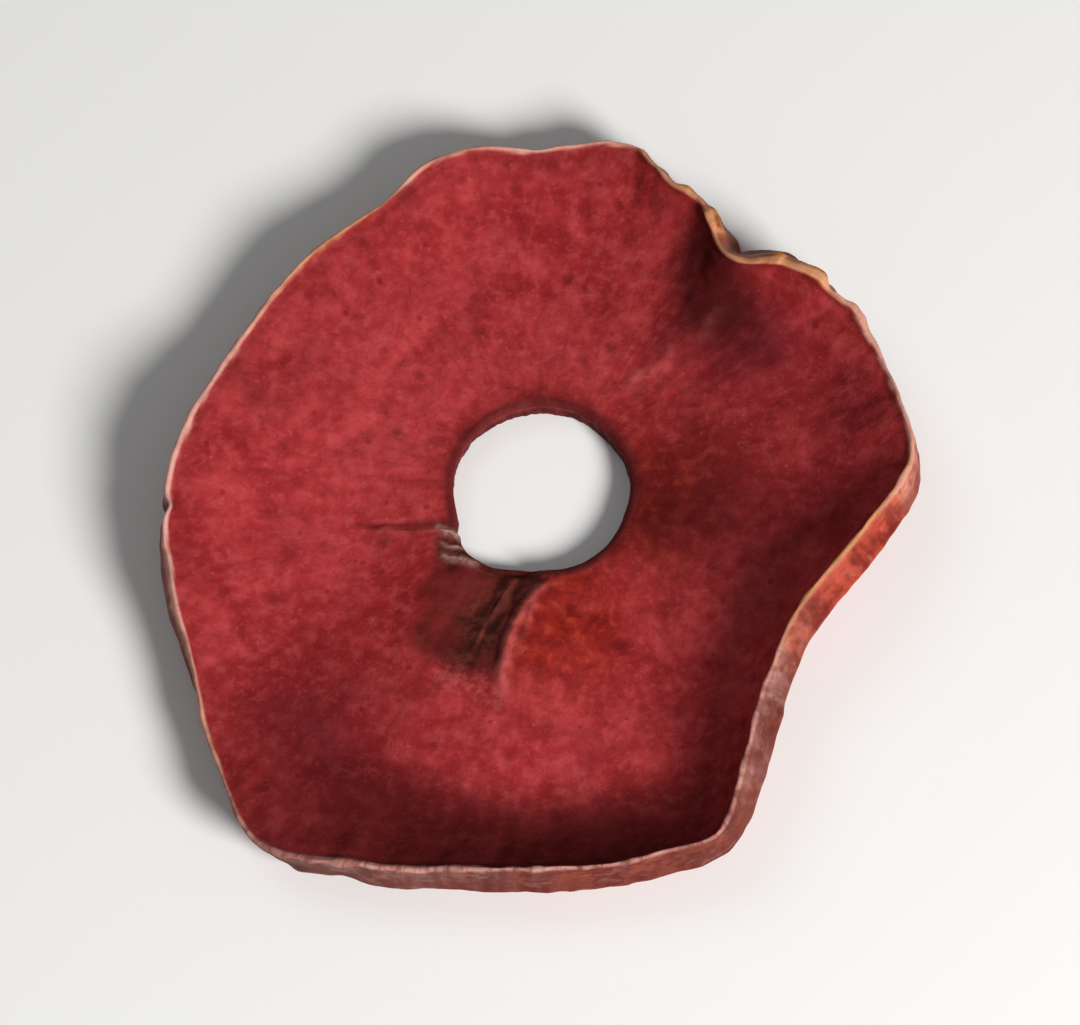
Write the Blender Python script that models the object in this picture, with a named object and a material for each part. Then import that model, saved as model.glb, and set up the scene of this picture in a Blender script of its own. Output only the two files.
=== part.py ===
"""Dried apple slice: a cored ring of red-fleshed apple, dried with its peel on.

One solid. A flat ring blank is turned about Z, then bent: the rim curls up
unevenly round the slice, the middle stays gently waved, and one seed pocket
is left open beside the core hole. Lengths below are in millimetres; the mesh
is in metres, +Z up, resting on z = 0.
"""
import math

import bmesh
import bpy
import numpy as np

MM = 0.001

# ---- driving dimensions (mm, degrees) -------------------------------------
CORE_RADIUS = 7.45        # cored hole, shrunk in drying
SHEET = 2.15              # thickness of the flesh
PEEL_EXTRA = 0.30         # the slice is thicker where the peel holds it
EDGE_ROUND = 0.30         # softened edge of the peel and of the core hole
FLAT_SHARE = 0.62         # share of the way from hole to peel that lies flat
SETTLE = 0.34             # how far the lowest waves are pressed flat
WAVE = 0.42               # height of the three-lobed wave of the middle
WAVE_LOBES = 3
WAVE_PHASE = 78.0         # azimuth of one low lobe
RIPPLE = (0.42, 0.26)     # long and short ripples of the rim's height
STEPS = 112               # segments round the slice
TOP_RINGS = 11            # points across each face

# Sections of the rim: azimuth, reach from the hole's centre in plan,
# turn-up of the edge, width of the curled band, slope where the curl starts.
RIM = (
    (0.0, 31.2, 30.0, 9.0, 12.0),      # right corner
    (12.0, 30.7, 15.0, 10.0, 11.0),
    (30.0, 30.3, 29.0, 9.0, 10.0),
    (43.0, 28.4, 56.0, 8.0, 8.0),
    (51.0, 26.0, 58.0, 7.0, 6.0),      # dent beside the crease
    (56.0, 27.3, 48.0, 7.0, 4.0),
    (61.0, 29.0, 38.0, 7.5, 3.0),
    (67.0, 29.6, 34.0, 8.0, 2.5),
    (76.0, 32.1, 22.0, 9.5, 2.0),
    (91.0, 31.2, 15.0, 11.0, 1.0),     # far edge, nearly flat
    (105.0, 31.5, 13.0, 11.0, 1.0),
    (119.0, 29.0, 14.0, 11.0, 2.0),
    (137.0, 28.5, 16.0, 11.0, 4.0),
    (160.0, 29.2, 18.0, 11.0, 6.0),
    (182.0, 31.8, 21.0, 11.0, 7.0),
    (208.0, 33.7, 13.0, 12.0, 7.0),
    (223.0, 36.9, 9.0, 13.0, 6.0),
    (235.0, 40.3, 9.0, 13.0, 5.0),     # near left corner
    (247.0, 38.2, 18.0, 11.0, 4.0),
    (262.0, 36.2, 38.0, 9.0, 4.0),     # near edge
    (285.0, 35.9, 44.0, 9.0, 4.0),
    (294.5, 36.0, 44.0, 9.0, 5.0),     # near right corner
    (303.0, 31.7, 52.0, 8.0, 7.0),
    (314.0, 27.5, 64.0, 8.0, 10.0),
    (328.0, 25.9, 74.0, 8.0, 14.0),    # standing flap
    (346.0, 28.1, 62.0, 8.5, 14.0),
)

# Seed pocket: azimuth of its axis, start, first fade and tip along it, depth.
POCKET = (-110.0, 6.0, 14.5, 19.5, 1.05)
# Its sides across the axis: offset, bend and where the bend turns.
POCKET_RIGHT = (1.35, 0.040, 13.4)
POCKET_LEFT = (-6.5, 0.050, 13.0)
# Where the hole breaks out towards the pocket: azimuth, spread, extra reach.
BREAKOUT = (-130.0, 19.0, 1.05)
# Crease from the hole towards the dent: two ends in plan, width, height.
CREASE = ((6.9, 8.6), (15.0, 15.4), 1.2, 0.28)
# Slit beside the hole's left side: two ends in plan, width, depth.
SLIT = ((-6.5, -4.0), (-16.5, -3.8), 0.45, 0.30)

COLOUR = (0.335, 0.052, 0.048, 1.0)
ROUGHNESS = 0.62

GAUSS_X, GAUSS_W = np.polynomial.legendre.leggauss(8)
GAUSS_X = 0.5 * (GAUSS_X + 1.0)
GAUSS_W = 0.5 * GAUSS_W


def ease(t):
    t = np.clip(t, 0.0, 1.0)
    return t * t * (3.0 - 2.0 * t)


def bell(t):
    return np.exp(-t * t)


def turned(az, degrees):
    """Signed angle in degrees from an azimuth, wrapped to -180..180."""
    d = np.degrees(az) - degrees
    return (d + 180.0) % 360.0 - 180.0


def section(az, column):
    """Smooth periodic reading of one column of RIM."""
    at = np.radians([row[0] for row in RIM])
    val = np.array([row[column] for row in RIM])
    full = 2.0 * math.pi
    at = np.concatenate((at[-2:] - full, at, at[:2] + full))
    val = np.concatenate((val[-2:], val, val[:2]))
    a = np.mod(az, full)
    i = np.clip(np.searchsorted(at, a, side="right") - 1, 1, len(at) - 3)
    span = at[i + 1] - at[i]
    t = (a - at[i]) / span
    m0 = (val[i + 1] - val[i - 1]) / (at[i + 1] - at[i - 1]) * span
    m1 = (val[i + 2] - val[i]) / (at[i + 2] - at[i]) * span
    t2, t3 = t * t, t * t * t
    return ((2 * t3 - 3 * t2 + 1) * val[i] + (t3 - 2 * t2 + t) * m0
            + (3 * t2 - 2 * t3) * val[i + 1] + (t3 - t2) * m1)


def core_edge(az):
    """Radius of the core hole, a little out of round, open to the pocket."""
    r = CORE_RADIUS + 0.10 * np.cos(2 * az + 0.6) + 0.07 * np.sin(5 * az + 1.0)
    r = r + BREAKOUT[2] * bell(turned(az, BREAKOUT[0]) / BREAKOUT[1])
    (x, y) = SLIT[0]
    return r + 0.20 * bell(turned(az, math.degrees(math.atan2(y, x))) / 6.0)


def beside(x, y, ends):
    """Distance along and across a segment, and the segment's length."""
    (x0, y0), (x1, y1) = ends
    dx, dy = x1 - x0, y1 - y0
    length = math.hypot(dx, dy)
    along = ((x - x0) * dx + (y - y0) * dy) / length
    across = ((x - x0) * dy - (y - y0) * dx) / length
    return along, across, length


def curl(v, turn, start):
    """Slope along the curled band, v from 0 to 1."""
    shape = 0.45 * v + 0.55 * ease(v)
    return np.radians(start + (turn - start) * shape)


def band_run(v, turn, start):
    """Run and rise along the band up to v, for a band one unit wide."""
    run = np.zeros_like(v)
    rise = np.zeros_like(v)
    for x, w in zip(GAUSS_X, GAUSS_W):
        slope = curl(v * x, turn, start)
        run += w * v * np.cos(slope)
        rise += w * v * np.sin(slope)
    return run, rise


def waves(x, y):
    """Gentle waves of the middle of the sheet and the crease beside the dent."""
    r = np.hypot(x, y)
    az = np.arctan2(y, x)
    lift = -WAVE * np.cos(np.radians(WAVE_LOBES * turned(az, WAVE_PHASE)))
    lift = lift * ease((r - 6.0) / 9.0) * (1.0 - ease((r - 19.0) / 12.0))
    lift = lift + 0.22 * np.sin(0.21 * x - 0.13 * y + 0.8) * ease((r - 9.0) / 8.0)
    width, height = CREASE[2:]
    along, across, length = beside(x, y, CREASE[:2])
    fade = ease(along / 3.0) * (1.0 - ease((along - length + 2.0) / 5.0))
    lift = lift + height * fade * bell(across / width)
    return lift - 0.55 * height * fade * bell((across - 2.6 * width) / (1.6 * width))


def middle(u, az):
    """Mid surface of the sheet: u is 0 at the core hole and 1 at the peel."""
    reach = section(az, 1)
    turn = section(az, 2)
    band = section(az, 3)
    start = section(az, 4)
    hole = core_edge(az)
    one = np.ones_like(az)
    flat_end = reach - band * band_run(one, turn, start)[0]
    q = np.clip(u / FLAT_SHARE, 0.0, 1.0)
    v = np.clip((u - FLAT_SHARE) / (1.0 - FLAT_SHARE), 0.0, 1.0)
    run, rise = band_run(v, turn, start)
    slope = np.tan(np.radians(start))
    r = hole + q * (flat_end - hole) + band * run
    z = slope * (flat_end - hole) * q ** 2.2 / 2.2 + band * rise
    z = z + ease((u - 0.55) / 0.45) * (RIPPLE[0] * np.sin(6.0 * az + 1.3)
                                       + RIPPLE[1] * np.sin(11.0 * az + 0.4))
    x, y = r * np.cos(az), r * np.sin(az)
    return np.stack((x, y, z + waves(x, y)), axis=-1)


def pocket_frame(x, y):
    """Places along and across the pocket, and the share of the way across it."""
    a = math.radians(POCKET[0])
    p = x * math.cos(a) + y * math.sin(a)
    q = -x * math.sin(a) + y * math.cos(a)
    right = POCKET_RIGHT[0] + POCKET_RIGHT[1] * (p - POCKET_RIGHT[2]) ** 2
    left = POCKET_LEFT[0] + POCKET_LEFT[1] * (p - POCKET_LEFT[2]) ** 2
    return p, q, (q - left) / np.maximum(right - left, 0.5)


def pocket(x, y):
    """Depth share of the open seed pocket, 0 outside it and 1 at its floor."""
    start, fade, tip = POCKET[1:4]
    p, q, s = pocket_frame(x, y)
    inside = ease(s / 0.80) * (1.0 - ease((s - 0.80) / 0.22))
    return inside * ease((p - start) / 1.5) * (1.0 - ease((p - fade) / (tip - fade)))


def slit(x, y):
    """Share of the narrow slit beside the hole."""
    along, across, length = beside(x, y, SLIT[:2])
    run = ease(along / 1.5) * (1.0 - ease((along - length + 4.0) / 4.0))
    return run * bell(across / SLIT[2])


def sheet_point(u, v, az):
    """Point of the bent slice: v is -0.5 on the underside, 0.5 on the top."""
    du, da = 2.0e-3, 2.0e-3
    mid = middle(u, az)
    along = middle(np.minimum(u + du, 1.0), az) - middle(np.maximum(u - du, 0.0), az)
    round_ = middle(u, az + da) - middle(u, az - da)
    normal = np.cross(along, round_)
    normal /= np.linalg.norm(normal, axis=-1, keepdims=True)
    x, y = mid[..., 0], mid[..., 1]
    thick = SHEET + PEEL_EXTRA * ease((u - 0.78) / 0.22)
    thick = thick + 0.10 * np.sin(2 * az + 0.5) + 0.07 * np.sin(0.45 * x + 0.3 * y)
    top = np.clip(2.0 * v, 0.0, 1.0)
    dip = POCKET[4] * pocket(x, y) + SLIT[3] * slit(x, y)
    return mid + normal * (v * thick - top * dip)[..., None]


def profile():
    """Closed outline of the blank's cross-section as (u, v) pairs."""
    e = EDGE_ROUND / SHEET
    s = EDGE_ROUND / 24.0
    across = [i / (TOP_RINGS - 1) for i in range(TOP_RINGS)]
    across[0], across[-1] = s, 1.0 - s
    outline = [(u, -0.5) for u in across]
    outline += [(1.0, -0.5 + e), (1.0, 0.0), (1.0, 0.5 - e)]
    outline += [(u, 0.5) for u in reversed(across)]
    outline += [(0.0, 0.5 - e), (0.0, 0.0), (0.0, -0.5 + e)]
    return outline


def build_slice():
    blank_in, blank_out = 10.0, 34.0
    bm = bmesh.new()
    ring = [bm.verts.new((blank_in + u * (blank_out - blank_in), 0.0, v * SHEET))
            for u, v in profile()]
    edges = [bm.edges.new((ring[i], ring[(i + 1) % len(ring)]))
             for i in range(len(ring))]
    bmesh.ops.spin(bm, geom=ring + edges, cent=(0, 0, 0), axis=(0, 0, 1),
                   angle=2.0 * math.pi, steps=STEPS, use_merge=True)
    bmesh.ops.remove_doubles(bm, verts=bm.verts, dist=1.0e-4)

    at = np.array([v.co[:] for v in bm.verts])
    az = np.arctan2(at[:, 1], at[:, 0])
    u = np.clip((np.hypot(at[:, 0], at[:, 1]) - blank_in) / (blank_out - blank_in),
                0.0, 1.0)
    v = at[:, 2] / SHEET
    bent = sheet_point(u, v, az)
    bent[:, 2] -= bent[:, 2].min() + SETTLE
    under = v < 0.0
    bent[under, 2] = np.maximum(bent[under, 2], 0.0)
    low, high = bent.min(axis=0), bent.max(axis=0)
    bent[:, :2] -= 0.5 * (low + high)[:2]
    for vert, co in zip(bm.verts, bent):
        vert.co = co * MM
    bmesh.ops.recalc_face_normals(bm, faces=bm.faces)

    mesh = bpy.data.meshes.new("apple_slice")
    bm.to_mesh(mesh)
    bm.free()
    for poly in mesh.polygons:
        poly.use_smooth = True
    mesh.set_sharp_from_angle(angle=math.radians(48.0))
    return bpy.data.objects.new("apple_slice", mesh)


def flesh_material():
    mat = bpy.data.materials.new("dried_apple")
    mat.use_nodes = True
    bsdf = mat.node_tree.nodes["Principled BSDF"]
    bsdf.inputs["Base Color"].default_value = COLOUR
    bsdf.inputs["Roughness"].default_value = ROUGHNESS
    bsdf.inputs["Metallic"].default_value = 0.0
    mat.diffuse_color = COLOUR
    return mat


def main():
    for obj in list(bpy.data.objects):
        bpy.data.objects.remove(obj, do_unlink=True)
    group = bpy.data.collections.new("dried_apple_slice")
    bpy.context.scene.collection.children.link(group)
    piece = build_slice()
    piece.data.materials.append(flesh_material())
    group.objects.link(piece)


main()
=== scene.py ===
import math

import bpy
import numpy as np
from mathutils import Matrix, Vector


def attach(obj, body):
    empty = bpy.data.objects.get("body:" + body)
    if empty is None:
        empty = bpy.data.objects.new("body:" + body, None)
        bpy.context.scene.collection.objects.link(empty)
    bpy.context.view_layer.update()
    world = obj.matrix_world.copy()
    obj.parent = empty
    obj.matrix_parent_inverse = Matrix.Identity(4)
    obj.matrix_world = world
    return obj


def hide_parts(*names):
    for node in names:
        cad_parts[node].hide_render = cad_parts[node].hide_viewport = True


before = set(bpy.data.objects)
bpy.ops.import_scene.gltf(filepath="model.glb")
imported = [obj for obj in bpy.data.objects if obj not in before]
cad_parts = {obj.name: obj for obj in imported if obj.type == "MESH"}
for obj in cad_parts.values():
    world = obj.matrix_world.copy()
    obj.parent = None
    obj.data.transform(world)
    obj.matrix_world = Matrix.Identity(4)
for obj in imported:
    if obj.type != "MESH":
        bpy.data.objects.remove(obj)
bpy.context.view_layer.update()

MM = 0.001

# ---------------------------------------------------------------------------
# The slice's form, in millimetres: the same sections as the frame's solid
# ---------------------------------------------------------------------------
CORE_RADIUS = 7.45
SHEET = 2.15
PEEL_EXTRA = 0.30
EDGE_ROUND = 0.30
FLAT_SHARE = 0.62
SETTLE = 0.34
WAVE = 0.42
WAVE_LOBES = 3
WAVE_PHASE = 78.0
RIPPLE = (0.42, 0.26)
STEPS = 112
TOP_RINGS = 11

# azimuth, reach in plan, turn-up of the edge, width of the band, first slope
RIM = (
    (0.0, 31.2, 30.0, 9.0, 12.0),
    (12.0, 30.7, 15.0, 10.0, 11.0),
    (30.0, 30.3, 29.0, 9.0, 10.0),
    (43.0, 28.4, 56.0, 8.0, 8.0),
    (51.0, 26.0, 58.0, 7.0, 6.0),
    (56.0, 27.3, 48.0, 7.0, 4.0),
    (61.0, 29.0, 38.0, 7.5, 3.0),
    (67.0, 29.6, 34.0, 8.0, 2.5),
    (76.0, 32.1, 22.0, 9.5, 2.0),
    (91.0, 31.2, 15.0, 11.0, 1.0),
    (105.0, 31.5, 13.0, 11.0, 1.0),
    (119.0, 29.0, 14.0, 11.0, 2.0),
    (137.0, 28.5, 16.0, 11.0, 4.0),
    (160.0, 29.2, 18.0, 11.0, 6.0),
    (182.0, 31.8, 21.0, 11.0, 7.0),
    (208.0, 33.7, 13.0, 12.0, 7.0),
    (223.0, 36.9, 9.0, 13.0, 6.0),
    (235.0, 40.3, 9.0, 13.0, 5.0),
    (247.0, 38.2, 18.0, 11.0, 4.0),
    (262.0, 36.2, 38.0, 9.0, 4.0),
    (285.0, 35.9, 44.0, 9.0, 4.0),
    (294.5, 36.0, 44.0, 9.0, 5.0),
    (303.0, 31.7, 52.0, 8.0, 7.0),
    (314.0, 27.5, 64.0, 8.0, 10.0),
    (328.0, 25.9, 74.0, 8.0, 14.0),
    (346.0, 28.1, 62.0, 8.5, 14.0),
)
POCKET = (-110.0, 6.0, 14.5, 19.5, 1.05)
POCKET_RIGHT = (1.35, 0.040, 13.4)
POCKET_LEFT = (-6.5, 0.050, 13.0)
BREAKOUT = (-130.0, 19.0, 1.05)
CREASE = ((6.9, 8.6), (15.0, 15.4), 1.2, 0.28)
SLIT = ((-6.5, -4.0), (-16.5, -3.8), 0.45, 0.30)

GAUSS_X, GAUSS_W = np.polynomial.legendre.leggauss(8)
GAUSS_X = 0.5 * (GAUSS_X + 1.0)
GAUSS_W = 0.5 * GAUSS_W


def ease(t):
    t = np.clip(t, 0.0, 1.0)
    return t * t * (3.0 - 2.0 * t)


def bell(t):
    return np.exp(-t * t)


def turned(az, degrees):
    d = np.degrees(az) - degrees
    return (d + 180.0) % 360.0 - 180.0


def section(az, column):
    at = np.radians([row[0] for row in RIM])
    val = np.array([row[column] for row in RIM])
    full = 2.0 * math.pi
    at = np.concatenate((at[-2:] - full, at, at[:2] + full))
    val = np.concatenate((val[-2:], val, val[:2]))
    a = np.mod(az, full)
    i = np.clip(np.searchsorted(at, a, side="right") - 1, 1, len(at) - 3)
    span = at[i + 1] - at[i]
    t = (a - at[i]) / span
    m0 = (val[i + 1] - val[i - 1]) / (at[i + 1] - at[i - 1]) * span
    m1 = (val[i + 2] - val[i]) / (at[i + 2] - at[i]) * span
    t2, t3 = t * t, t * t * t
    return ((2 * t3 - 3 * t2 + 1) * val[i] + (t3 - 2 * t2 + t) * m0
            + (3 * t2 - 2 * t3) * val[i + 1] + (t3 - t2) * m1)


def core_edge(az):
    r = CORE_RADIUS + 0.10 * np.cos(2 * az + 0.6) + 0.07 * np.sin(5 * az + 1.0)
    r = r + BREAKOUT[2] * bell(turned(az, BREAKOUT[0]) / BREAKOUT[1])
    (x, y) = SLIT[0]
    return r + 0.20 * bell(turned(az, math.degrees(math.atan2(y, x))) / 6.0)


def beside(x, y, ends):
    (x0, y0), (x1, y1) = ends
    dx, dy = x1 - x0, y1 - y0
    length = math.hypot(dx, dy)
    along = ((x - x0) * dx + (y - y0) * dy) / length
    across = ((x - x0) * dy - (y - y0) * dx) / length
    return along, across, length


def curl(v, turn, start):
    shape = 0.45 * v + 0.55 * ease(v)
    return np.radians(start + (turn - start) * shape)


def band_run(v, turn, start):
    run = np.zeros_like(v)
    rise = np.zeros_like(v)
    for x, w in zip(GAUSS_X, GAUSS_W):
        slope = curl(v * x, turn, start)
        run += w * v * np.cos(slope)
        rise += w * v * np.sin(slope)
    return run, rise


def waves(x, y):
    r = np.hypot(x, y)
    az = np.arctan2(y, x)
    lift = -WAVE * np.cos(np.radians(WAVE_LOBES * turned(az, WAVE_PHASE)))
    lift = lift * ease((r - 6.0) / 9.0) * (1.0 - ease((r - 19.0) / 12.0))
    lift = lift + 0.22 * np.sin(0.21 * x - 0.13 * y + 0.8) * ease((r - 9.0) / 8.0)
    width, height = CREASE[2:]
    along, across, length = beside(x, y, CREASE[:2])
    fade = ease(along / 3.0) * (1.0 - ease((along - length + 2.0) / 5.0))
    lift = lift + height * fade * bell(across / width)
    return lift - 0.55 * height * fade * bell((across - 2.6 * width) / (1.6 * width))


def middle(u, az):
    reach = section(az, 1)
    turn = section(az, 2)
    band = section(az, 3)
    start = section(az, 4)
    hole = core_edge(az)
    one = np.ones_like(az)
    flat_end = reach - band * band_run(one, turn, start)[0]
    q = np.clip(u / FLAT_SHARE, 0.0, 1.0)
    v = np.clip((u - FLAT_SHARE) / (1.0 - FLAT_SHARE), 0.0, 1.0)
    run, rise = band_run(v, turn, start)
    slope = np.tan(np.radians(start))
    r = hole + q * (flat_end - hole) + band * run
    z = slope * (flat_end - hole) * q ** 2.2 / 2.2 + band * rise
    z = z + ease((u - 0.55) / 0.45) * (RIPPLE[0] * np.sin(6.0 * az + 1.3)
                                       + RIPPLE[1] * np.sin(11.0 * az + 0.4))
    x, y = r * np.cos(az), r * np.sin(az)
    return np.stack((x, y, z + waves(x, y)), axis=-1)


def pocket_frame(x, y):
    a = math.radians(POCKET[0])
    p = x * math.cos(a) + y * math.sin(a)
    q = -x * math.sin(a) + y * math.cos(a)
    right = POCKET_RIGHT[0] + POCKET_RIGHT[1] * (p - POCKET_RIGHT[2]) ** 2
    left = POCKET_LEFT[0] + POCKET_LEFT[1] * (p - POCKET_LEFT[2]) ** 2
    return p, q, (q - left) / np.maximum(right - left, 0.5)


def pocket(x, y):
    start, fade, tip = POCKET[1:4]
    p, q, s = pocket_frame(x, y)
    inside = ease(s / 0.80) * (1.0 - ease((s - 0.80) / 0.22))
    return inside * ease((p - start) / 1.5) * (1.0 - ease((p - fade) / (tip - fade)))


def slit(x, y):
    along, across, length = beside(x, y, SLIT[:2])
    run = ease(along / 1.5) * (1.0 - ease((along - length + 4.0) / 4.0))
    return run * bell(across / SLIT[2])


def sheet_point(u, v, az):
    du, da = 2.0e-3, 2.0e-3
    mid = middle(u, az)
    along = middle(np.minimum(u + du, 1.0), az) - middle(np.maximum(u - du, 0.0), az)
    round_ = middle(u, az + da) - middle(u, az - da)
    normal = np.cross(along, round_)
    normal /= np.linalg.norm(normal, axis=-1, keepdims=True)
    x, y = mid[..., 0], mid[..., 1]
    thick = SHEET + PEEL_EXTRA * ease((u - 0.78) / 0.22)
    thick = thick + 0.10 * np.sin(2 * az + 0.5) + 0.07 * np.sin(0.45 * x + 0.3 * y)
    top = np.clip(2.0 * v, 0.0, 1.0)
    dip = POCKET[4] * pocket(x, y) + SLIT[3] * slit(x, y)
    return mid + normal * (v * thick - top * dip)[..., None]


def seat():
    """Shift that sets the slice down and centres it, as in the frame."""
    e = EDGE_ROUND / SHEET
    s = EDGE_ROUND / 24.0
    across = [i / (TOP_RINGS - 1) for i in range(TOP_RINGS)]
    across[0], across[-1] = s, 1.0 - s
    outline = [(u, -0.5) for u in across]
    outline += [(1.0, -0.5 + e), (1.0, 0.0), (1.0, 0.5 - e)]
    outline += [(u, 0.5) for u in reversed(across)]
    outline += [(0.0, 0.5 - e), (0.0, 0.0), (0.0, -0.5 + e)]
    outline = np.array(outline)
    az = np.arange(STEPS) * (2.0 * math.pi / STEPS)
    u = np.repeat(outline[:, 0], STEPS)
    v = np.repeat(outline[:, 1], STEPS)
    bent = sheet_point(u, v, np.tile(az, len(outline)))
    bent[:, 2] -= bent[:, 2].min() + SETTLE
    under = v < 0.0
    low_z = bent[:, 2].min()
    bent[under, 2] = np.maximum(bent[under, 2], 0.0)
    low, high = bent.min(axis=0), bent.max(axis=0)
    first = sheet_point(u, v, np.tile(az, len(outline)))[:, 2].min()
    return np.array([-0.5 * (low[0] + high[0]), -0.5 * (low[1] + high[1]),
                     -(first + SETTLE)])


SEAT = seat()


# ---------------------------------------------------------------------------
# Noise, for the relief that drying leaves
# ---------------------------------------------------------------------------
def hashed(ix, iy, iz, seed):
    h = (ix * 374761393 + iy * 668265263 + iz * 1442695041 + seed * 1274126177)
    h = h & 0xFFFFFFFF
    h = ((h ^ (h >> 13)) * 1274126177) & 0xFFFFFFFF
    h = ((h ^ (h >> 16)) * 668265263) & 0xFFFFFFFF
    return (h ^ (h >> 15)) & 0xFFFFFFFF


def noise(p, size, seed):
    """Gradient noise in -1..1, one cell `size` mm across."""
    q = np.asarray(p, dtype=np.float64) / size + 311.7
    cell = np.floor(q).astype(np.int64)
    f = q - cell
    w = f * f * f * (f * (f * 6.0 - 15.0) + 10.0)
    total = np.zeros(q.shape[:-1])
    for cx in (0, 1):
        for cy in (0, 1):
            for cz in (0, 1):
                h = hashed(cell[..., 0] + cx, cell[..., 1] + cy, cell[..., 2] + cz, seed)
                gx = ((h & 1023) / 511.5) - 1.0
                gy = (((h >> 10) & 1023) / 511.5) - 1.0
                gz = (((h >> 20) & 1023) / 511.5) - 1.0
                dot = gx * (f[..., 0] - cx) + gy * (f[..., 1] - cy) + gz * (f[..., 2] - cz)
                wx = w[..., 0] if cx else 1.0 - w[..., 0]
                wy = w[..., 1] if cy else 1.0 - w[..., 1]
                wz = w[..., 2] if cz else 1.0 - w[..., 2]
                total += wx * wy * wz * dot
    return np.clip(total * 1.6, -1.0, 1.0)


def layered(p, size, seed, octaves=3, gain=0.5):
    total, amp, norm = 0.0, 1.0, 0.0
    for k in range(octaves):
        total = total + amp * noise(p, size / 2 ** k, seed + 17 * k)
        norm += amp
        amp *= gain
    return total / norm


def ridged(p, size, seed):
    return 1.0 - 2.0 * np.abs(noise(p, size, seed))


# ---------------------------------------------------------------------------
# The slice's mesh
# ---------------------------------------------------------------------------
COLUMNS = 640             # points round the slice
FACE_RINGS = 70           # rings across the upper face
UNDER_RINGS = 44          # rings across the underside
PEEL_ROUND = 0.16         # rounding of the peel's edges, mm
HOLE_ROUND = 0.34         # rounding of the hole's lower edge, mm
HOLE_ROLL = (0.75, 0.62)  # the hole's upper edge rolls over: inwards, down


def spread(n, start, stop):
    """n values from start to stop, closer together at both ends."""
    t = np.linspace(0.0, 1.0, n)
    t = t - 0.42 * np.sin(2.0 * math.pi * t) / (2.0 * math.pi)
    return start + (stop - start) * t


def fine_profile():
    """Cross-section as (u, v, side): side 0 under, 1 peel, 2 top, 3 hole wall."""
    long_, thick = 25.0, 2.3
    pu, pv = PEEL_ROUND / long_, PEEL_ROUND / thick
    hu, hv = HOLE_ROUND / long_, HOLE_ROUND / thick
    ru, rv = HOLE_ROLL[0] / long_, HOLE_ROLL[1] / thick
    rows = []
    for u in spread(UNDER_RINGS, hu, 1.0 - pu):
        rows.append((u, -0.5, 0))
    for k in (1, 2, 3):
        a = k * math.pi / 6.0
        rows.append((1.0 - pu * (1.0 - math.sin(a)), -0.5 + pv * (1.0 - math.cos(a)), 1))
    for v in np.linspace(-0.5 + pv, 0.5 - pv, 9)[1:]:
        rows.append((1.0, v, 1))
    for k in (1, 2):
        a = k * math.pi / 6.0
        rows.append((1.0 - pu * (1.0 - math.cos(a)), 0.5 - pv * (1.0 - math.sin(a)), 1))
    for u in spread(FACE_RINGS, 1.0 - pu, ru):
        rows.append((u, 0.5, 2))
    for k in range(1, 7):
        a = k * math.pi / 12.0
        rows.append((ru * (1.0 - math.sin(a)), 0.5 - rv * (1.0 - math.cos(a)), 3))
    for v in np.linspace(0.5 - rv, -0.5 + hv, 5)[1:]:
        rows.append((0.0, v, 3))
    for k in (1, 2):
        a = k * math.pi / 6.0
        rows.append((hu * (1.0 - math.cos(a)), -0.5 + hv * (1.0 - math.sin(a)), 3))
    return np.array(rows)


def grid_normals(grid):
    """Normals of a grid closed both ways."""
    along = np.roll(grid, -1, axis=0) - np.roll(grid, 1, axis=0)
    round_ = np.roll(grid, -1, axis=1) - np.roll(grid, 1, axis=1)
    n = np.cross(round_, along)
    length = np.linalg.norm(n, axis=-1, keepdims=True)
    return n / np.maximum(length, 1.0e-9)


def scattered(seed, count, low, high):
    """Places on the sheet: azimuth and share of the way from hole to peel."""
    rng = np.random.default_rng(seed)
    az = rng.uniform(-math.pi, math.pi, count)
    u = np.sqrt(rng.uniform(low ** 2, high ** 2, count))
    return az, u, rng


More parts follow.
